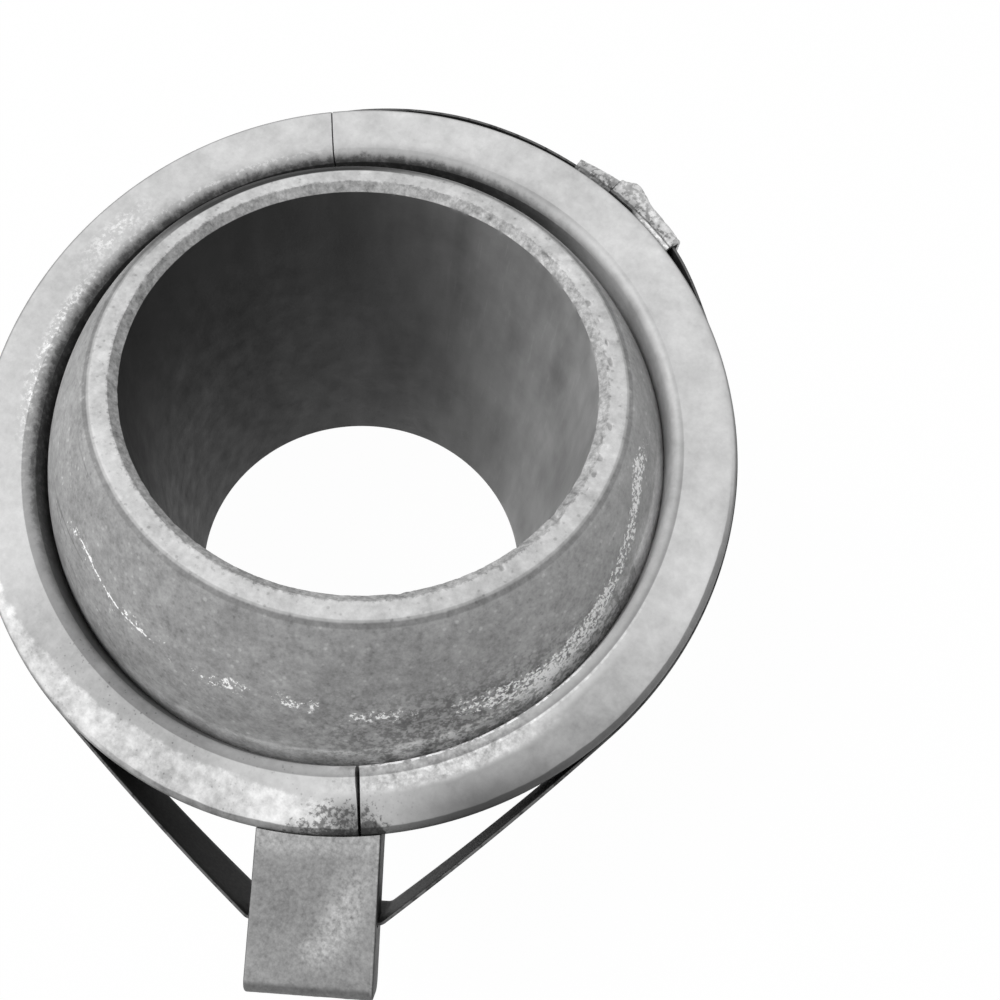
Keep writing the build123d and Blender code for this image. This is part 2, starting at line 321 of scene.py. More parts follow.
# %% [markdown]
# ## Turned rings
#
# A ring is turned from one outline, so its mesh is a lathe: the outline is repeated
# round the axis and neighbours are bridged. Spin would do it too, but placing the
# points ourselves lets each one be nudged for chips and wear as it is made. The seals
# and the block are bridged from rows of points in the same way.

# %% Outlines made of arcs and straight runs
def run(start, end, count):
    """Points along a straight run, without its last one."""
    return [
        (start[0] + (end[0] - start[0]) * i / count, start[1] + (end[1] - start[1]) * i / count)
        for i in range(count)
    ]


def arc(centre, radius, start, end, count, whole=False):
    """Points along an arc, with its last one if whole. Angles are from the radial direction."""
    angles = [radians(start + (end - start) * i / count) for i in range(count + whole)]
    return [(centre[0] + radius * cos(a), centre[1] + radius * sin(a)) for a in angles]


# %% The lathe
SHARP_FROM = 32


def finished(name, mesh_data, finish, body, *nodes, slot):
    """Turns a bmesh into a piece that rides on a body and stands for CAD nodes."""
    bmesh.ops.recalc_face_normals(mesh_data, faces=mesh_data.faces[:])
    mesh = bpy.data.meshes.new(name)
    mesh_data.to_mesh(mesh)
    mesh_data.free()
    mesh.polygons.foreach_set("use_smooth", [True] * len(mesh.polygons))
    mesh.set_sharp_from_angle(angle=radians(SHARP_FROM))
    mesh.materials.append(finish)
    piece = bpy.data.objects.new(name, mesh)
    bpy.context.collection.objects.link(piece)
    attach(piece, body)
    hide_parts(*nodes)
    mesh.calc_loop_triangles()
    print(name, "has", len(mesh.loop_triangles), "triangles")


def bridged(mesh_data, rows, closed=False):
    """Joins each row of points to the next with faces, and caps an open run's two ends."""
    for one, two in zip(rows, rows[1:] + rows[:1] if closed else rows[1:]):
        for i in range(len(one)):
            j = (i + 1) % len(one)
            mesh_data.faces.new((one[i], one[j], two[j], two[i]))
    if not closed:
        mesh_data.faces.new(rows[0])
        mesh_data.faces.new(rows[-1])
    return mesh_data


def turned(outline, azimuths, nudge, closed=True, lean=False):
    """Repeats an outline round the axis. nudge(radius, height, azimuth) moves points."""
    mesh_data = bmesh.new()
    rows = []
    for azimuth in azimuths:
        row = []
        for radius, height in outline:
            radius, height, nudged = nudge(radius, height, azimuth)
            a = radians(nudged)
            point = Vector((radius * cos(a), radius * sin(a), height)) * MM
            row.append(mesh_data.verts.new(LEAN_OVER @ point if lean else point))
        rows.append(row)
    return bridged(mesh_data, rows, closed)


# %% [markdown]
# ## Inner ring
#
# It is a ball with flat ends and a bore. The outer ring's mouth has rubbed a belt of
# white flakes on the ball. Painted shade darkens the bore's left side, and painted light
# brightens its right side and the ball's right and low sides. The bore
# mouth was never finely dressed: the chamfer is crumbly, with deeper chips at one side.
# Noise pushes the chamfer's points into the steel, never out of it.

# %% Outline of the inner ring
def inner_ring_outline():
    face_radius = sqrt(BALL_RADIUS**2 - INNER_HALF**2) - BALL_EDGE
    ball_half = INNER_HALF - BALL_EDGE
    edge_radius = sqrt(BALL_RADIUS**2 - ball_half**2)
    reach = degrees(atan2(ball_half, edge_radius))
    wall_half = INNER_HALF - BORE_CHAMFER
    mouth = BORE_RADIUS + BORE_CHAMFER
    return [
        *arc((0, 0), BALL_RADIUS, -reach, reach, 44),
        *run((edge_radius, ball_half), (face_radius, INNER_HALF), 3),
        *run((face_radius, INNER_HALF), (mouth + 1.6, INNER_HALF), 3),
        *run((mouth + 1.6, INNER_HALF), (mouth, INNER_HALF), 5),
        *run((mouth, INNER_HALF), (BORE_RADIUS, wall_half), 5),
        *run((BORE_RADIUS, wall_half), (BORE_RADIUS, wall_half - 1.5), 2),
        *run((BORE_RADIUS, wall_half - 1.5), (BORE_RADIUS, -wall_half), 6),
        *run((BORE_RADIUS, -wall_half), (mouth, -INNER_HALF), 2),
        *run((mouth, -INNER_HALF), (face_radius, -INNER_HALF), 1),
        *run((face_radius, -INNER_HALF), (edge_radius, -ball_half), 1),
    ]


print("the inner ring is turned from", len(inner_ring_outline()), "points")

# %% Where the ball has rubbed
RUBBED_BELT = [
    (0, 42.5), (12, 49.1), (24, 47.2), (60, 47.2), (200, 50.0), (217, 49.0), (226, 44.0),
    (235, 40.4), (244, 40.8), (257, 37.2), (275, 36.8), (292, 37.4), (310, 34.0),
    (322, 32.2), (334, 31.3), (341, 33.2), (348, 36.4), (360, 42.5),
]


def rubbed_belt(f, azimuth, height, grain, patches):
    """White flakes on the ball, in a belt where the outer ring's mouth has rubbed it."""
    off = (height - f.follow(azimuth, RUBBED_BELT, 0.0, 60.0)).size()
    flecks = f.cloud(1.0, detail=3, roughness=0.7, seed=2.0) - 0.5
    density = patches * 1.2 + grain * 0.9
    # a wide ragged belt at the lower right, running on more thinly up the right side
    wide = off.under(3.8, 2.8) * azimuth.near(336, 17, 10)
    right = off.under(2.5, 1.9) * azimuth.near(2, 18, 8).most(azimuth.near(362, 22, 10)) * 0.9
    thin = off.under(0.30, 0.2) * azimuth.near(254, 12, 3)
    sparse = off.under(2.4, 2.4) * azimuth.near(270, 42, 10) * patches.over(0.0, 0.08) * 0.66
    rubbed = wide.most(right).most(thin * 1.1).most(sparse)
    return (rubbed * 0.47 + density * 0.6 + flecks * 2.7 * rubbed).over(0.41, 0.09)


# %% Finish of the inner ring
def inner_ring_finish():
    f = Finish("ground_inner_ring_steel", leaning=False)
    azimuth, radius, height = f.azimuth(), f.radius(), f.height
    level = height.size()
    broad = f.cloud(34, detail=2, seed=5.2) - 0.5
    patches = f.cloud(6, detail=6, roughness=0.62, seed=2.4) - 0.5
    mottle = f.cloud(2.4, detail=4, roughness=0.65, seed=4.6) - 0.5
    grain = f.cloud(1.0, detail=3, roughness=0.7, seed=7.7) - 0.5
    dots = f.flakes(1.5, seed=6.1).under(0.24, 0.08)
    sprinkle = f.flakes(2.1, seed=1.8).under(0.20, 0.07)
    from_mouth = height * cos(radians(LEAN)) - f.y * sin(radians(LEAN))

    ball = 0.295 + broad * 0.14 + patches * 0.30 + mottle * 0.26 + grain * 0.24
    # painted light brightens the ball's right side
    ball = ball + azimuth.near(350, 22, 22).most(azimuth.near(14, 22, 22)) * 0.08
    # painted light brightens the ball towards the mouth on its low side, against the shade there
    low_side = azimuth.near(315, 50, 20).most(azimuth.near(0, 20, 20))
    close = from_mouth.under(38.5, 4.0) * 0.5 + from_mouth.under(35.8, 0.8) * 0.9
    ball = ball * (1.0 + low_side * close)
    ball = ball + sprinkle * patches.over(0.0, 0.08) * 0.12 - dots * mottle.under(0.02, 0.08) * 0.05
    streaks = f.cloud(16, detail=2, seed=9.0, stretch=(0.3, 0.3, 7)).under(0.36, 0.03)
    ball = ball - streaks * azimuth.near(238, 10, 8) * 0.09
    rubbed = rubbed_belt(f, azimuth, height, grain, patches)
    dark_grains = (grain + mottle).under(-0.02, 0.10) * azimuth.near(330, 30, 14)
    dark_grains = dark_grains * height.under(38, 6)
    ball = choose(rubbed, ball * (1.0 - dark_grains * 0.45), 0.98)

    face = 0.56 + broad * 0.20 + patches * 0.55 + mottle * 0.40 + grain * 0.20
    face = face - dots * mottle.under(-0.02, 0.06) * 0.15
    rim = 0.42 + patches * 0.50 + mottle * 0.40 + grain * 0.80
    # painted shade darkens the bore's left side, and painted light brightens its right side
    bore = 0.032 + azimuth.facing(45, 40, 85) * 0.38 + azimuth.facing(8, 14, 12) * 0.06
    runs = f.cloud(11, detail=3, seed=6.9, stretch=(1, 1, 0.25)) - 0.5
    bore = bore * (1.0 + broad * 1.2 + patches * 0.7 + runs * 1.2)
    scratches = f.cloud(5, detail=3, seed=3.3, stretch=(5, 5, 0.5)).over(0.64, 0.04)
    bore = bore + scratches * azimuth.near(60, 35, 20) * 0.03

    # painted shade dims the face's edge chamfer, where it catches a highlight
    painted_shade_edge = radius.near(59, 0.8, 0.2) * level.over(53.5, 0.1)
    shade = choose(level.over(54.30, 0.12), ball, face)
    shade = shade * (1.0 - painted_shade_edge * 0.30)
    on_rim = (radius + grain * 1.6).near(53.35, 1.1, 0.25) * level.over(52.7, 0.15)
    shade = choose(on_rim, shade, rim)
    shade = choose(radius.under(52.62, 0.08) * level.under(52.8, 0.1), shade, bore)
    # painted shade: at the upper left the rim of the face is made as dark as the shaded gap behind
    # it
    painted_shade_rim = (radius + azimuth.near(160, 12, 25) * 0.4).over(57.7, 0.2)
    painted_shade_rim = painted_shade_rim * level.over(50, 1) * azimuth.near(143, 34, 16)
    shade = shade * (1.0 - painted_shade_rim * 0.95)
    relief = patches * 0.5 + grain * 0.6
    return f.finish(shade.most(0.02), 0.60 + patches * 0.4, 0.15, relief, 0.08)


# %% Make the inner ring
def crumbled(radius, height, azimuth):
    """Chips along the upper bore mouth, and a few that reach onto the end face."""
    mouth = BORE_RADIUS + BORE_CHAMFER
    if height < INNER_HALF - BORE_CHAMFER - 0.1 or radius > mouth + 1.4:
        return radius, height, azimuth
    a = radians(azimuth)
    spot = Vector((radius * cos(a), radius * sin(a), height))
    grain = noise.noise(spot * 0.9) * 0.5 + noise.noise(spot * 2.1) * 0.4
    chipped = max(0.0, noise.noise(spot * 0.4 + Vector((7, 3, 1))) - 0.05)
    side = max(0.0, cos(radians(azimuth - 25)))
    on_face = radius > mouth + 0.05
    depth = 1.1 * chipped * (0.2 + side) - (0.12 if on_face else 0.0)
    depth = max(0.0, depth + 0.12 * grain * (0.3 if on_face else 1.0))
    if on_face:
        return radius, height - depth, azimuth
    return radius + depth * 0.7, height - depth * 0.7, azimuth


ROUND_STEPS = 1080
inner_azimuths = [360 * i / ROUND_STEPS for i in range(ROUND_STEPS)]
finished(
    "worn_inner_ring",
    turned(inner_ring_outline(), inner_azimuths, crumbled),
    inner_ring_finish(),
    "inner",
    "inner_ring",
    slot="inner_ring_steel",
)

# %% [markdown]
# ## Outer ring halves
#
# The ring is cracked rather than sawn, so the joint is a fine, slightly crooked line.
# Both faces follow the same crookedness, and the gap opens a little at the lower joint
# and towards the mouth, where the edges have crumbled. One finish serves both halves,
# because the stains run on across the joints.

# %% Outline of the outer ring
def outer_ring_outline():
    seat_half = sqrt(SEAT_RADIUS**2 - MOUTH_WALL_RADIUS**2)
    seat_reach = degrees(atan2(seat_half, MOUTH_WALL_RADIUS))
    wall_end = OUTER_HALF - MOUTH_BEVEL
    leg = MOUTH_FACE_RADIUS - MOUTH_WALL_RADIUS
    bevel = []
    for i in range(9):
        a = radians(10 * i)
        bevel.append((MOUTH_FACE_RADIUS - leg * sin(a), wall_end + MOUTH_BEVEL * cos(a)))
    corner = (OUTER_RADIUS - OUTER_EDGE, OUTER_HALF - OUTER_EDGE)
    below = (corner[0], -corner[1])
    return [
        *arc((0, 0), SEAT_RADIUS, -seat_reach, seat_reach, 14),
        *run((MOUTH_WALL_RADIUS, seat_half), (MOUTH_WALL_RADIUS, wall_end), 3),
        *reversed(bevel),
        *run((MOUTH_FACE_RADIUS + 0.6, OUTER_HALF), (corner[0], OUTER_HALF), 6),
        *arc(corner, OUTER_EDGE, 90, 0, 8),
        *run((OUTER_RADIUS, corner[1]), (OUTER_RADIUS, -corner[1]), 8),
        *arc(below, OUTER_EDGE, 0, -90, 5),
        *run((corner[0], -OUTER_HALF), (MOUTH_FACE_RADIUS, -OUTER_HALF), 3),
        *[(r, -h) for r, h in bevel],
    ]


print("the outer ring is turned from", len(outer_ring_outline()), "points")

# %% Finish of the outer ring
PALE_BLOOM_FROM = [
    (0, 92), (215, 92), (225, 87.6), (240, 86.2), (250, 83.6), (258, 82.6), (270, 80.5),
    (286, 80.4), (299, 82.5), (312, 92),
]
TAB_AZIMUTH = 305.7


def outer_ring_finish():
    f = Finish("ground_outer_ring_steel")
    azimuth, radius = f.azimuth(), f.radius()
    broad = f.cloud(30, detail=2, seed=3.1) - 0.5
    patches = f.cloud(8, detail=5, roughness=0.6, seed=8.7) - 0.5
    mottle = f.cloud(2.6, detail=4, roughness=0.65, seed=5.4) - 0.5
    grain = f.cloud(1.1, detail=3, roughness=0.7, seed=1.9) - 0.5
    dots = (f.flakes(1.1, seed=3.7) - grain * 0.6).under(0.17, 0.08)
    ragged = radius + mottle * 1.6 + patches * 2.0
    shade = 0.60 + broad * 0.22 + patches * 0.36 + mottle * 0.22 + grain * 0.10
    shade = shade - azimuth.near(188, 34, 22) * 0.09

    # the inner part of the lower left is dull, and a pale bloom lies outside it
    shade = shade - azimuth.near(262, 26, 12) * 0.19
    bloom = (ragged - f.follow(azimuth, PALE_BLOOM_FROM, 70.0, 100.0)).over(0.1, 0.6)
    west = azimuth.near(254, 8, 9)
    shade = shade + bloom * (0.15 + west * 0.08 + patches * 0.7 + mottle * 0.6)

    # granular pale patches at the left, and crumbs on the mouth's rough dark edge
    crumbs = (grain * 2.2 + patches * 1.4).over(0.10, 0.16)
    crumbly = azimuth.near(192, 14, 10) * ragged.near(78.6, 1.4, 1.2)
    crumbly = crumbly.most(azimuth.near(168, 6, 6) * ragged.near(82, 2.5, 2.0) * 0.7)
    shade = shade + crumbly * crumbs * 0.30
    edge = radius + mottle * 3.0 + grain * 2.4
    edge_crumbs = (grain * 3.0 + mottle * 1.4).over(0.16, 0.20)
    shade = shade + edge.near(77.6, 0.5, 0.9) * edge_crumbs * azimuth.near(172, 44, 14) * 0.30

    # the smoother and darker stretch at the lower right
    smooth = azimuth.near(322, 13, 12)
    duller = smooth * (ragged - mottle).over(81.3, 0.9) * 0.46
    shade = shade * (1.0 - duller - smooth * radius.over(85, 3.2) * 0.30)
    shade = shade + azimuth.near(318, 14, 8) * radius.under(81, 1) * (mottle + grain) * 0.8
    shade = shade - azimuth.near(342, 8, 8) * ragged.over(79.5, 0.8) * 0.17

    # dark specks low down, and a pitted stain round the lower joint with a dark tab
    shade = shade - dots * patches.under(0.02, 0.08) * azimuth.near(277, 32, 14) * 0.16
    stain = azimuth.near(302.0, 3.6, 3.6) * ragged.over(83.4, 2.4)
    stain = stain.most(azimuth.near(301, 6.0, 3.0) * ragged.over(86.8, 1.0))
    pits = (stain * 0.70 + grain * 4.2 + mottle * 0.7).over(0.56, 0.40) * stain.over(0.12, 0.10)
    core = azimuth.near(302.6, 2.6, 2.8) * ragged.over(83.6, 3.0)
    shade = shade * (1.0 - pits * 0.72) * (1.0 - stain * 0.24) * (1.0 - core * 0.52)
    a = radians(TAB_AZIMUTH)
    tab = (f.x - OUTER_RADIUS * cos(a)) ** 2.0 + (f.y - OUTER_RADIUS * sin(a)) ** 2.0 + mottle * 8.0
    shade = shade * (1.0 - tab.under(9.5, 2.0) * 0.76)

    # painted shade darkens the bevel towards the face, except at the right, where it is bright, and
    # at the upper left, where it darkens towards the mouth
    bevel = radius.under(77.75, 0.12)
    bright_bevel = azimuth.near(55, 26, 16)
    soft_bevel = azimuth.near(135, 55, 20)
    painted_bevel_shade = 0.02 + radius.over(76.4, 1.2) * 0.46
    shade = shade * (1.0 - bevel * painted_bevel_shade * (1.0 - bright_bevel.most(soft_bevel) * 0.8))
    shade = shade * (1.0 - soft_bevel * radius.under(78.0, 2.2) * 0.32)
    # a painted highlight along the bevel's outer edge at the lower right
    shade = shade + radius.near(78.0, 0.25, 0.15) * azimuth.near(335, 22, 10) * (0.10 + mottle)

    # painted shade darkens the mouth's wall, less at the right, with a ragged edge at the upper
    # left
    wall = f.height.under(35.2, 0.25) * radius.under(76, 0.3)
    thin = azimuth.facing(35, 34, 14)
    shade = shade * (1.0 - wall * (0.52 - thin * 0.50 + soft_bevel * (1.0 - thin) * 0.26))
    shade = shade * (1.0 - edge.under(75.8, 0.7) * azimuth.near(158, 70, 22) * 0.62)

    # painted shade darkens the rounded outer edge and the outside
    low_side = azimuth.near(318, 50, 14).most(azimuth.near(0, 18, 10))
    rim = (radius + patches * 0.8).over(88.35, 0.15) * low_side
    shade = shade * (1.0 - rim.most(radius.over(89.2, 0.4)) * 0.62)
    painted_shade_upper_rim = radius.over(88.7, 0.3) * azimuth.near(155, 50, 20)
    shade = shade * (1.0 - painted_shade_upper_rim * 0.45)
    outside = 0.27 + patches * 0.30 + mottle * 0.20 + broad * 0.12
    shade = choose(f.height.under(33.5, 1.5) * radius.over(86, 0.5), shade, outside)

    # a burnished line along the wall's edge at the lower right
    line = radius.near(75.6, 0.25, 0.15) * azimuth.near(325, 20, 8) * mottle.over(0.0, 0.05)
    shade = (shade + line * 0.6).most(0.02)
    rough = 0.62 + patches * 0.4
    relief = patches * 0.6 + grain * 0.5 - pits * 0.5
    return f.finish(shade, rough, 0.15, relief, 0.08)


# %% Make the two halves
HALF_STEPS = 480
# How far each half stands back from the joint, and more where its edge has crumbled
TIGHT_HALF_GAP, OPEN_HALF_GAP, CRUMBLED_GAP = 0.18, 0.34, 0.2


def crack(radius, height):
    """How far the crack wanders sideways at this place, in millimetres."""
    spot = Vector((radius * 0.16, height * 0.12, 0))
    fine = Vector((radius * 0.9, height * 0.6, 4))
    return 0.10 * noise.noise(spot) + 0.04 * noise.noise(fine)


def half_azimuths(side):
    start = JOINT_AZIMUTH if side > 0 else JOINT_AZIMUTH - 180
    return [start + 180 * i / HALF_STEPS for i in range(HALF_STEPS + 1)]


def half_nudge(side):
    first, *_, last = half_azimuths(side)

    def nudge(radius, height, azimuth):
        for end, inwards in ((first, 1), (last, -1)):
            if abs(azimuth - end) < 1e-6:
                tight = abs((end - JOINT_AZIMUTH) % 360) < 1
                gap = TIGHT_HALF_GAP if tight else OPEN_HALF_GAP
                if height > OUTER_HALF - 1.0 and not tight:
                    gap += CRUMBLED_GAP * max(0.0, min(1.0, (84 - radius) / 6))
                azimuth = end + degrees((inwards * gap + crack(radius, height)) / radius)
        return radius, height, azimuth

    return nudge


outer_finish = outer_ring_finish()
for side, name in ((1, "left"), (-1, "right")):
    nudge = half_nudge(side)
    finished(
        f"worn_outer_half_{name}",
        turned(outer_ring_outline(), half_azimuths(side), nudge, closed=False, lean=True),
        outer_finish,
        "outer",
        f"outer_ring_{name}_half",
        slot="outer_ring_steel",
    )

# %% [markdown]
# ## Strap
#
# One steel band goes round the ring, straight to the block on both sides, and over its
# own other end inside the seals. Its front edge lies in the block's slot and its rear
# edge is drawn closer to the ring, so the band twists on its way. A curve with a swept
# section can't hold two different edges, so the band is made from its two edge lines:
# a Geometry Nodes tree lays a grid between them, and Solidify and Bevel finish it. The
# steel is blackened, with bright edges where it was slit and has rubbed.

# %% Sizes of the strap and of the bends over the block
STRAP_WIDTH = 19.0
STRAP_FRONT = 34.2
STRAP_BACK = STRAP_FRONT - STRAP_WIDTH
STRAP_THICKNESS = 0.6
STRAP_GAP = 0.03
STRAP_MIDDLE = OUTER_RADIUS + STRAP_GAP + STRAP_THICKNESS / 2
LIFT_START, LIFT_END = 134.0, 46.0
LOWER_END, UPPER_END = 64.5, 81.0
# Azimuths, and how far the band stands off the ring there, where LYING counts as flat
LYING = 0.05
LOOSE_STRETCH = [
    (LOWER_END, 2.0), (73.0, 1.9), (81.0, 1.8), (92.0, 2.1), (105.0, 2.3), (118.0, 1.6),
    (LIFT_START, LYING),
]
RIDING_STRETCH = [(LIFT_END, LYING), (61.5, 2.65), (65.5, 2.65), (73.0, 2.55), (81.0, 2.45)]

BLOCK_AZIMUTH = -61.6
BEND_RADIUS = 2.2
RUN_BOW = 0.6
# Reach and distance across of the corner a run starts from, which sets where it meets the ring
RUN_REACH, RUN_CORNER = OUTER_RADIUS + 17.05, 16.0
# Reach and distance across the block of each edge's two bends, left and right
FRONT_BENDS = [(107.2, 14.2), (106.8, 14.3)]
REAR_BENDS = [(105.3, 15.0), (105.3, 15.1)]
# Steps of an edge line in a bend, in a run, on the level, and on the ring at each side
BEND_STEPS, RUN_STEPS, LEVEL_STEPS, LEFT_STEPS, RIGHT_STEPS = 12, 24, 12, 100, 60
print("the strap lies from height", STRAP_BACK, "to", STRAP_FRONT)

# %% A smooth line through a table of places
def along(table, x):
    """The height of a smooth curve through the points of a table, level at its ends."""
    slopes = [0.0]
    for (x0, y0), (x2, y2) in zip(table, table[2:]):
        slopes.append((y2 - y0) / (x2 - x0))
    slopes.append(0.0)
    for i in range(len(table) - 1):
        (x0, y0), (x1, y1) = table[i], table[i + 1]
        if x <= x1 or i == len(table) - 2:
            span = x1 - x0
            t = min(1.0, max(0.0, (x - x0) / span))
            rise = (3 - 2 * t) * t * t * (y1 - y0)
            return y0 + rise + span * t * (1 - t) * ((1 - t) * slopes[i] - t * slopes[i + 1])


def ring_point(azimuth, radius, height):
    """A point of the outer ring's frame, leaned over with it."""
    a = radians(azimuth)
    return LEAN_OVER @ (Vector((radius * cos(a), radius * sin(a), height)) * MM)


def block_point(across, reach, height):
    """The same, given by the distance across the block and the reach from the axis."""
    a = radians(BLOCK_AZIMUTH)
    x = reach * cos(a) - across * sin(a)
    y = reach * sin(a) + across * cos(a)
    return LEAN_OVER @ (Vector((x, y, height)) * MM)


# %% The two edge lines of the strap
def run_angle():
    """How far round from the block the straight runs touch the ring, in degrees."""
    inner = STRAP_MIDDLE - STRAP_THICKNESS / 2
    straight = acos(inner / hypot(RUN_REACH, RUN_CORNER))
    return degrees(straight + atan2(RUN_CORNER, RUN_REACH))


def over_block(height, bends):
    """One edge line over the block, from ring to ring."""
    turn_by = run_angle()
    bend = BEND_RADIUS + STRAP_THICKNESS / 2
    sides = []
    for side, (reach, corner) in zip((-1, 1), bends):
        level = corner - BEND_RADIUS * tan(radians(turn_by) / 2)
        points = []
        for i in range(BEND_STEPS + 1):
            a = radians(turn_by * i / BEND_STEPS)
            points.append((level + bend * sin(a), reach - BEND_RADIUS + bend * cos(a)))
        start, end = points[-1], (STRAP_MIDDLE * sin(a), STRAP_MIDDLE * cos(a))
        for i in range(1, RUN_STEPS + 1):
            t = i / RUN_STEPS
            bow = RUN_BOW * 4 * t * (1 - t)
            across = start[0] + (end[0] - start[0]) * t + bow * sin(a)
            points.append((across, start[1] + (end[1] - start[1]) * t + bow * cos(a)))
        sides.append([block_point(side * across, out, height) for across, out in points])
    left, right = sides
    middle = [left[0].lerp(right[0], i / LEVEL_STEPS) for i in range(1, LEVEL_STEPS)]
    return left[::-1] + middle + right


def round_ring(start, end, steps, height, table=None):
    """One edge line between two azimuths, flat on the ring or as far off it as a table says."""
    points = []
    for i in steps:
        azimuth = start + (end - start) * i / len(steps)
        radius = STRAP_MIDDLE + along(table, azimuth) - LYING if table else STRAP_MIDDLE
        points.append(ring_point(azimuth, radius, height))
    return points


def edge_line(height, bends):
    """One whole edge of the strap, from its lower end round the left to its upper end."""
    touch_left = BLOCK_AZIMUTH - run_angle() + 360
    touch_right = BLOCK_AZIMUTH + run_angle()
    before, after = range(LEFT_STEPS), range(1, RIGHT_STEPS + 1)
    return [
        *round_ring(LOWER_END, LIFT_START, before, height, LOOSE_STRETCH),
        *round_ring(LIFT_START, touch_left, before, height),
        *over_block(height, bends),
        *round_ring(touch_right, LIFT_END, after, height),
        *round_ring(LIFT_END, UPPER_END, after, height, RIDING_STRETCH),
    ]


front_edge = edge_line(STRAP_FRONT, FRONT_BENDS)
rear_edge = edge_line(STRAP_BACK, REAR_BENDS)
strap_length = sum((b - a).length for a, b in zip(front_edge, front_edge[1:]))
print("the strap is", round(strap_length / MM), "mm long")


# %% A tree that lays a band between two lines
def band_tree():
    """Geometry Nodes: a grid whose first row is one line of points and last row another."""
    tree = bpy.data.node_groups.new("band_between_two_lines", "GeometryNodeTree")
    for name, in_out, kind in (
        ("Lines", "INPUT", "NodeSocketGeometry"),
        ("Steps", "INPUT", "NodeSocketInt"),
        ("Rows", "INPUT", "NodeSocketInt"),
        ("Finish", "INPUT", "NodeSocketMaterial"),
        ("Band", "OUTPUT", "NodeSocketGeometry"),
    ):
        tree.interface.new_socket(name, in_out=in_out, socket_type=kind)

    def node(kind, sockets, **settings):
        """Adds a node, makes its settings, fills its sockets and gives its outputs."""
        made = tree.nodes.new(kind)
        for key, value in settings.items():
            setattr(made, key, value)
        for key, value in sockets.items():
            if isinstance(value, bpy.types.NodeSocket):
                tree.links.new(value, made.inputs[key])
            else:
                made.inputs[key].default_value = value
        return made.outputs

    def maths(operation, *values):
        return node("ShaderNodeMath", dict(enumerate(values)), operation=operation)[0]

    given = node("NodeGroupInput", {})
    lines, steps, rows, coat = (given[name] for name in ("Lines", "Steps", "Rows", "Finish"))
    index = node("GeometryNodeInputIndex", {})[0]
    place = node("GeometryNodeInputPosition", {})[0]
    step = maths("FLOOR", maths("DIVIDE", index, rows))
    share = maths("DIVIDE", maths("MODULO", index, rows), maths("SUBTRACT", rows, 1.0))
    ends = []
    for which in (step, maths("ADD", step, steps)):
        taken = {"Geometry": lines, "Value": place, "Index": which}
        kinds = {"data_type": "FLOAT_VECTOR", "domain": "POINT"}
        ends.append(node("GeometryNodeSampleIndex", taken, **kinds)["Value"])
    between = node("ShaderNodeMix", {0: share, 4: ends[0], 5: ends[1]}, data_type="VECTOR")[1]
    grid = node("GeometryNodeMeshGrid", {"Vertices X": steps, "Vertices Y": rows})["Mesh"]
    moved = node("GeometryNodeSetPosition", {"Geometry": grid, "Position": between})[0]
    real = node("GeometryNodeRealizeInstances", {"Geometry": moved})[0]
    coated = node("GeometryNodeSetMaterial", {"Geometry": real, "Material": coat})[0]
    node("NodeGroupOutput", {"Band": coated})
    print("the band's tree has", len(tree.nodes), "nodes")
    return tree


# %% Finish of the strap
def strap_finish():
    f = Finish("blackened_strap_steel")
    patches = f.cloud(4, detail=5, seed=4.4) - 0.5
    grain = f.cloud(0.7, detail=3, seed=1.4) - 0.5
    edge = f.height.over(STRAP_FRONT - 0.16, 0.06).most(f.height.under(STRAP_BACK + 0.16, 0.06))
    worn = edge * (patches * 1.5 + grain).over(-0.10, 0.16)
    shade = 0.020 + patches * 0.03 + grain * 0.02 + worn * 0.08
    return f.finish(shade.most(0.006), 0.58 + grain * 0.4, 0.1, grain * 0.6 + patches * 0.6, 0.04)


# %% Make the strap
def banded(name, first, second, rows, thickness, rounding, finish):
    """A plain mesh of a band between two lines of points, given thickness and round edges."""
    lines = bpy.data.meshes.new(name + "_lines")
    lines.from_pydata([*first, *second], [], [])
    holder = bpy.data.objects.new(name + "_lines", lines)
    bpy.context.collection.objects.link(holder)
    laid = holder.modifiers.new("band", "NODES")
    laid.node_group = band_tree()
    values = {"Steps": len(first), "Rows": rows, "Finish": finish}
    for item in laid.node_group.interface.items_tree:
        if item.in_out == "INPUT" and item.name in values:
            laid[item.identifier] = values[item.name]
    thick = holder.modifiers.new("thickness", "SOLIDIFY")
    thick.thickness = thickness * MM
    thick.offset = 0.0
    rounded = holder.modifiers.new("rounding", "BEVEL")
    rounded.width = rounding * MM
    rounded.segments = 2
    rounded.angle_limit = radians(60)
    seen = holder.evaluated_get(bpy.context.evaluated_depsgraph_get())
    mesh = bpy.data.meshes.new_from_object(seen)
    holder.modifiers.clear()
    bpy.data.objects.remove(holder)
    mesh_data = bmesh.new()
    mesh_data.from_mesh(mesh)
    return mesh_data


STRAP_ROWS = 9
STRAP_EDGE = 0.14

strap_coat = strap_finish()
strap = banded("strap", front_edge, rear_edge, STRAP_ROWS, STRAP_THICKNESS, STRAP_EDGE, strap_coat)
finished("blackened_strap", strap, strap_coat, "outer", "steel_strap", slot="blackened_strap")

# %% [markdown]
# ## Folded seals
#
# A seal is a short piece of sheet steel folded round both layers of the strap and
# crimped, so that its two edges turn in underneath as lips. One outline of the folded
# sheet is repeated along it. Its back rises into a hump at one end of the long seal,
# which has no lips there, and noise dents the outer skin inwards. The steel is dull
# zinc with dark specks, and painted shade darkens its lower wall, its crease and its far lips.

# %% Sizes of the seals
SEAL_SHEET = 0.8
SEAL_LOW, SEAL_HIGH = STRAP_BACK - 0.9, STRAP_FRONT + 0.9
# The rise of the underside, how far in the lips reach, and the outer radius of the folds
SEAL_UNDER, SEAL_LIP, SEAL_FOLD = 0.75, 6.5, 1.2
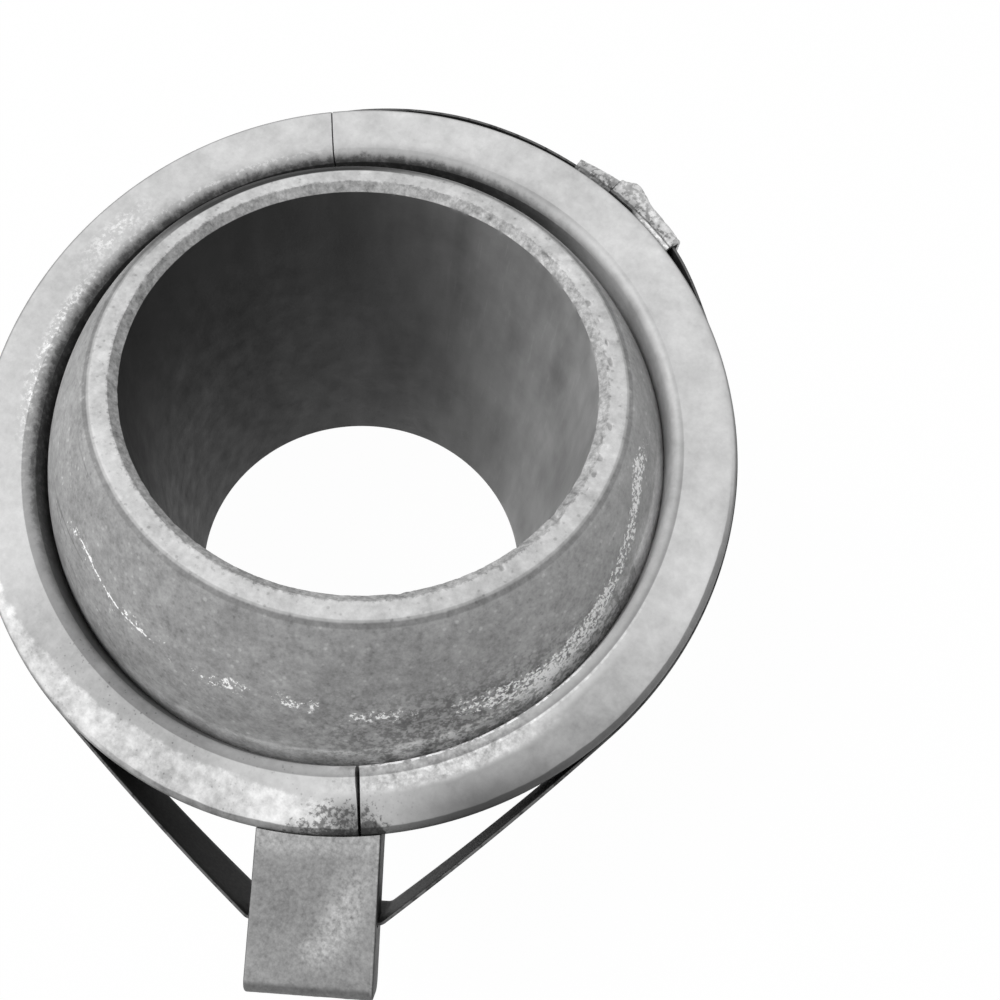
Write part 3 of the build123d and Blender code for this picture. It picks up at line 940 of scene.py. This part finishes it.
# Azimuths, and the rise of the seal's back there
SHORT_SEAL_BACK = [(75.7, 5.4), (79.0, 4.9), (82.6, 4.3)]
LONG_SEAL_BACK = [(62.4, 5.4), (66.0, 5.6), (69.8, 6.1), (71.6, 7.2), (73.6, 7.8), (75.6, 6.2)]
# Where the hump begins, and its underside and lower folds, with sides that end in no lip
HUMP_FOOT = 70.6
HUMP_UNDER, HUMP_LIP, HUMP_FOLD = 1.3, SEAL_SHEET + 0.02, 0.15
for seal_back in (SHORT_SEAL_BACK, LONG_SEAL_BACK):
    print("a seal spans", round(seal_back[-1][0] - seal_back[0][0], 1), "degrees of the ring")

# %% Outline of the folded sheet
def fold(centre, radius, start, end):
    """Points round a fold of the sheet, with both of its ends."""
    return arc(centre, radius, start, end, 5, whole=True)


def seal_outline(back, under, lip, low_fold):
    """Rise and height of points round the folded sheet: its outer skin, then its inner."""
    low, high, sheet, top_fold = SEAL_LOW, SEAL_HIGH, SEAL_SHEET, SEAL_FOLD
    outer = [(under, high - lip), *run((under, high - lip), (under, high - low_fold), 3)[1:]]
    outer += fold((under + low_fold, high - low_fold), low_fold, 180, 90)
    outer += run((under + low_fold, high), (back - top_fold, high), 6)[1:]
    outer += fold((back - top_fold, high - top_fold), top_fold, 90, 0)
    outer += run((back, high - top_fold), (back, low + top_fold), 16)[1:]
    outer += fold((back - top_fold, low + top_fold), top_fold, 0, -90)
    outer += run((back - top_fold, low), (under + low_fold, low), 4)[1:]
    outer += fold((under + low_fold, low + low_fold), low_fold, -90, -180)
    outer += [(under, low + lip)]
    inner = [
        (under + sheet, low + lip),
        (under + sheet, low + sheet),
        (back - sheet, low + sheet),
        (back - sheet, high - sheet),
        (under + sheet, high - sheet),
        (under + sheet, high - lip),
    ]
    return outer, inner


# %% Finish of the seals
def seal_finish():
    f = Finish("galvanised_seal_steel")
    patches = f.cloud(3.2, detail=6, roughness=0.65, seed=2.9) - 0.5
    grain = f.cloud(0.8, detail=3, seed=5.5) - 0.5
    rise = f.radius() - OUTER_RADIUS
    far = f.azimuth().over(69.5, 1.5)
    specks = f.cloud(2.2, detail=4, roughness=0.7, seed=7.3) - 0.5
    specks = (specks + grain * 0.3).under(-0.03, 0.06)
    low = rise.under(3.6, 1.4) * rise.over(1.9, 0.2)
    shade = 0.71 + patches * 0.50 + grain * 0.15 - specks * 0.26
    # painted shade darkens the lower wall, where dark specks also gather
    shade = shade * (1.0 - low * (0.22 + specks * 0.35 + far * 0.15))
    # painted shadow hides the lips at the far end
    shade = shade * (1.0 - rise.under(1.9, 0.1) * far * 0.80)
    # painted shade darkens the crease above the upper lip
    crease = rise.near(2.0, 0.16, 0.08) * f.height.over(STRAP_FRONT, 0.3)
    shade = (shade * (1.0 - crease * 0.6)).most(0.03)
    return f.finish(shade, 0.5 + patches * 0.4, 0.2, patches * 0.5 + grain * 0.6, 0.07)


# %% Make the seals
def dented(azimuth, rise, height, under):
    """Moves a point of the outer skin inwards, and creases the side above the lip."""
    spot = Vector((azimuth * 1.6, rise, height))
    dent = max(0.0, noise.noise(spot * 0.42) * 0.55 + noise.noise(spot * 1.3) * 0.22 + 0.05)
    if height > SEAL_HIGH - 0.3:
        crease = max(0.0, 1.0 - abs(rise - under - 1.25) / 0.35)
        return rise, height - min(0.45, dent + 0.45 * crease)
    if rise > 3.6:
        return rise - min(0.3, dent * 0.6), height
    return rise, height


def seal(table, hump_foot, steps=64):
    """A folded seal whose back follows a table, lifted with no lips beyond a hump's foot."""
    mesh_data = bmesh.new()
    rows = []
    first, last = table[0][0], table[-1][0]
    for i in range(steps + 1):
        azimuth = first + (last - first) * i / steps
        back, under, lip, low_fold = along(table, azimuth), SEAL_UNDER, SEAL_LIP, SEAL_FOLD
        if hump_foot:
            lifted = min(1.0, max(0.0, (azimuth - hump_foot + 0.25) / 0.5))
            under += (HUMP_UNDER - under) * lifted
            lip += (HUMP_LIP - lip) * lifted
            low_fold += (HUMP_FOLD - low_fold) * lifted
        outer, inner = seal_outline(back, under, lip, low_fold)
        skin = [dented(azimuth, rise, height, under) for rise, height in outer]
        row = [ring_point(azimuth, OUTER_RADIUS + rise, height) for rise, height in skin + inner]
        rows.append([mesh_data.verts.new(point) for point in row])
    return bridged(mesh_data, rows)


seal_coat = seal_finish()
for name, node, table, hump_foot in (
    ("short_folded_seal", "strap_seal_short", SHORT_SEAL_BACK, None),
    ("long_folded_seal", "strap_seal_long", LONG_SEAL_BACK, HUMP_FOOT),
):
    finished(name, seal(table, hump_foot), seal_coat, "outer", node, slot="zinc_seal")

# %% [markdown]
# ## Block
#
# The block is a bar of steel hollowed at one end to sit on the ring, with a slot across
# its back for the strap. Its side view is one outline, with an arrow at each point that
# tells which way is out, and the outline is repeated across the block. Near each side
# the points draw in along their arrows, which rounds the rims, and noise roughens the
# skin. It is grainy bare steel, rubbed paler in one slanting band.

# %% Sizes of the block
BLOCK_WIDTH = 27.0
BLOCK_FRONT, BLOCK_BACK = 36.6, 25.0
BLOCK_REACH = OUTER_RADIUS + 32.0
BLOCK_GAP = 0.05
# Radius of the rounded toe, and of the rims at both sides
BLOCK_TOE, BLOCK_RIM = 3.0, 0.6
SLOT_FLOOR, SLOT_ROOF, SLOT_END = 106.15, 107.95, 34.5
print("the block stands out", BLOCK_REACH - OUTER_RADIUS, "mm from the ring")

# %% Side view of the block
def block_outline(saddle):
    """Reach, height and outward arrow of points round the block's side view."""
    toe = BLOCK_TOE
    corner = BLOCK_REACH - toe
    outline = [(r, h, 0, 1) for r, h in run((saddle, BLOCK_FRONT), (corner, BLOCK_FRONT), 44)]
    for end, start in ((BLOCK_FRONT - toe, 90), (BLOCK_BACK + toe, 0)):
        for i in range(9):
            a = radians(start - 90 * i / 8)
            outline.append((corner + toe * cos(a), end + toe * sin(a), cos(a), sin(a)))
    backs = run((corner, BLOCK_BACK), (SLOT_ROOF, BLOCK_BACK), 8)[1:]
    outline += [(r, h, 0, -1) for r, h in backs]
    slot = [(SLOT_ROOF, BLOCK_BACK), (SLOT_ROOF, SLOT_END)]
    slot += [(SLOT_FLOOR, SLOT_END), (SLOT_FLOOR, BLOCK_BACK)]
    outline += [(r, h, 0, 0) for r, h in slot]
    backs = run((SLOT_FLOOR - 0.3, BLOCK_BACK), (saddle, BLOCK_BACK), 8)
    outline += [(r, h, 0, -1) for r, h in backs]
    outline += [(r, h, 0, 0) for r, h in run((saddle, BLOCK_BACK), (saddle, BLOCK_FRONT), 6)]
    return outline


# %% Finish of the block
def block_finish():
    f = Finish("grainy_block_steel")
    broad = f.cloud(14, detail=2, seed=1.7) - 0.5
    patches = f.cloud(3.4, detail=5, roughness=0.6, seed=6.6) - 0.5
    mottle = f.cloud(1.5, detail=3, roughness=0.6, seed=2.2) - 0.5
    grain = f.cloud(0.8, detail=3, roughness=0.65, seed=3.8) - 0.5
    a = radians(BLOCK_AZIMUTH)
    across = f.y * cos(a) - f.x * sin(a)
    reach = f.x * cos(a) + f.y * sin(a)
    # paler in a rubbed band from the upper right to the lower middle, and by the ring
    slope = across - (BLOCK_REACH - 9.0 - reach) * 0.50 + patches * 8
    band = slope.near(2.6, 3.4, 4.6) * reach.over(98, 8) * reach.under(115, 3)
    band = band.most(reach.under(93.5, 1.8) * 0.45)
    grainy = (mottle * 0.30 + grain * 0.40) * (0.6 + band * 1.2)
    shade = 0.25 + broad * 0.18 + patches * 0.20 + grainy + band * 0.18
    # painted shade darkens the toe and the sides, and a painted highlight lies along the front
    # face's side edges
    shade = shade * (1.0 - (reach + patches).over(119.6, 0.6) * 0.50)
    side = across.size().over(13.3, 0.12)
    shade = shade * (1.0 - side * 0.90)
    painted_highlight_edge = across.near(13.1, 0.22, 0.15) * f.height.over(36.0, 0.2)
    shade = shade + painted_highlight_edge * (0.08 + grain * 0.3)
    return f.finish(shade.most(0.02), 0.6 + patches * 0.4, 0.15, grain * 0.8 + patches * 0.4, 0.10)


# %% Make the block
def block():
    """Repeats the side view across the block, drawn in towards both sides."""
    mesh_data = bmesh.new()
    rim, half = BLOCK_RIM, BLOCK_WIDTH / 2
    on_rim = (0.0, 0.08, 0.2, 0.4)
    stations = [inset - half for inset in on_rim]
    stations += [-half + rim + (BLOCK_WIDTH - 2 * rim) * i / 40 for i in range(41)]
    stations += [half - inset for inset in reversed(on_rim)]
    rows = []
    for across in stations:
        left = max(0.0, rim - (half - abs(across)))
        drawn = rim - sqrt(max(0.0, rim**2 - left**2))
        saddle = sqrt((OUTER_RADIUS + BLOCK_GAP) ** 2 - across**2)
        row = []
        for reach, height, out_reach, out_height in block_outline(saddle):
            spot = Vector((across, reach, height))
            rough = 0.05 + 0.05 * noise.noise(spot * 0.9) + 0.04 * noise.noise(spot * 0.25)
            inwards = drawn + max(0.0, rough) * (1 if out_reach or out_height else 0)
            if reach < OUTER_RADIUS + 0.3:
                out_reach = 0
            place = (reach - out_reach * inwards, height - out_height * inwards)
            row.append(mesh_data.verts.new(block_point(across, *place)))
        rows.append(row)
    return bridged(mesh_data, rows)


finished("slotted_block", block(), block_finish(), "outer", "spacer_block", slot="block_steel")

# %% [markdown]
# ## Floor and light
#
# The photograph has a plain white ground and soft light from the left: the bore is dark
# on its left wall and lighter on its right. A wide soft lamp on that side does this, and
# a faint world light fills the shadows. To the camera, and in reflections, the floor is
# near white, but the object is lit only by the plain light.

# %% Lay the floor
def plain_floor(size=4.0, whiteness=0.98):
    """A square floor in metres that is white to the camera and dull to the lamp."""
    mesh = bpy.data.meshes.new("floor")
    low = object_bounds()[0][2]
    half = size / 2
    corners = [(-half, -half, low), (half, -half, low), (half, half, low), (-half, half, low)]
    mesh.from_pydata(corners, [], [(0, 1, 2, 3)])
    floor = bpy.data.objects.new("floor", mesh)
    bpy.context.collection.objects.link(floor)
    material = bpy.data.materials.new("pale_floor")
    material.use_nodes = True
    nodes, links = material.node_tree.nodes, material.node_tree.links
    nodes.clear()
    diffuse = nodes.new("ShaderNodeBsdfDiffuse")
    diffuse.inputs["Color"].default_value = (0.85, 0.85, 0.85, 1)
    white = nodes.new("ShaderNodeEmission")
    white.inputs["Color"].default_value = (1, 1, 1, 1)
    white.inputs["Strength"].default_value = 1.0
    path = nodes.new("ShaderNodeLightPath")
    either = nodes.new("ShaderNodeMath")
    either.operation = "MAXIMUM"
    seen = nodes.new("ShaderNodeMath")
    seen.operation = "MULTIPLY"
    seen.inputs[1].default_value = whiteness
    mixed = nodes.new("ShaderNodeMixShader")
    output = nodes.new("ShaderNodeOutputMaterial")
    links.new(path.outputs["Is Camera Ray"], either.inputs[0])
    links.new(path.outputs["Is Glossy Ray"], either.inputs[1])
    links.new(either.outputs[0], seen.inputs[0])
    links.new(seen.outputs[0], mixed.inputs[0])
    links.new(diffuse.outputs[0], mixed.inputs[1])
    links.new(white.outputs[0], mixed.inputs[2])
    links.new(mixed.outputs[0], output.inputs["Surface"])
    mesh.materials.append(material)
    print("the floor lies at", round(low / MM, 1), "mm")


plain_floor()


# %% Hang the lamp and light the world
def soft_lamp(name, azimuth, elevation, distance, size, power):
    """A round lamp turned to the origin, with its distance and size in metres."""
    lamp = bpy.data.lights.new(name, "AREA")
    lamp.shape = "DISK"
    lamp.size = size
    lamp.energy = power
    holder = bpy.data.objects.new(name, lamp)
    a, e = radians(azimuth), radians(elevation)
    place = Vector((cos(e) * cos(a), cos(e) * sin(a), sin(e))) * distance
    holder.location = place
    holder.rotation_euler = (-place).to_track_quat("-Z", "Y").to_euler()
    bpy.context.collection.objects.link(holder)
    print(name, "gives", power, "watts")


soft_lamp("wide_lamp_at_the_left", azimuth=205, elevation=52, distance=4.0, size=2.2, power=105.0)

world = bpy.data.worlds.new("studio")
world.use_nodes = True
bpy.context.scene.world = world
nodes, links = world.node_tree.nodes, world.node_tree.links
nodes["Background"].inputs["Color"].default_value = (1, 1, 1, 1)
nodes["Background"].inputs["Strength"].default_value = 0.55
backdrop = nodes.new("ShaderNodeBackground")
backdrop.inputs["Color"].default_value = (1, 1, 1, 1)
path = nodes.new("ShaderNodeLightPath")
mixed = nodes.new("ShaderNodeMixShader")
links.new(path.outputs["Is Camera Ray"], mixed.inputs[0])
links.new(nodes["Background"].outputs[0], mixed.inputs[1])
links.new(backdrop.outputs[0], mixed.inputs[2])
links.new(mixed.outputs[0], nodes["World Output"].inputs["Surface"])
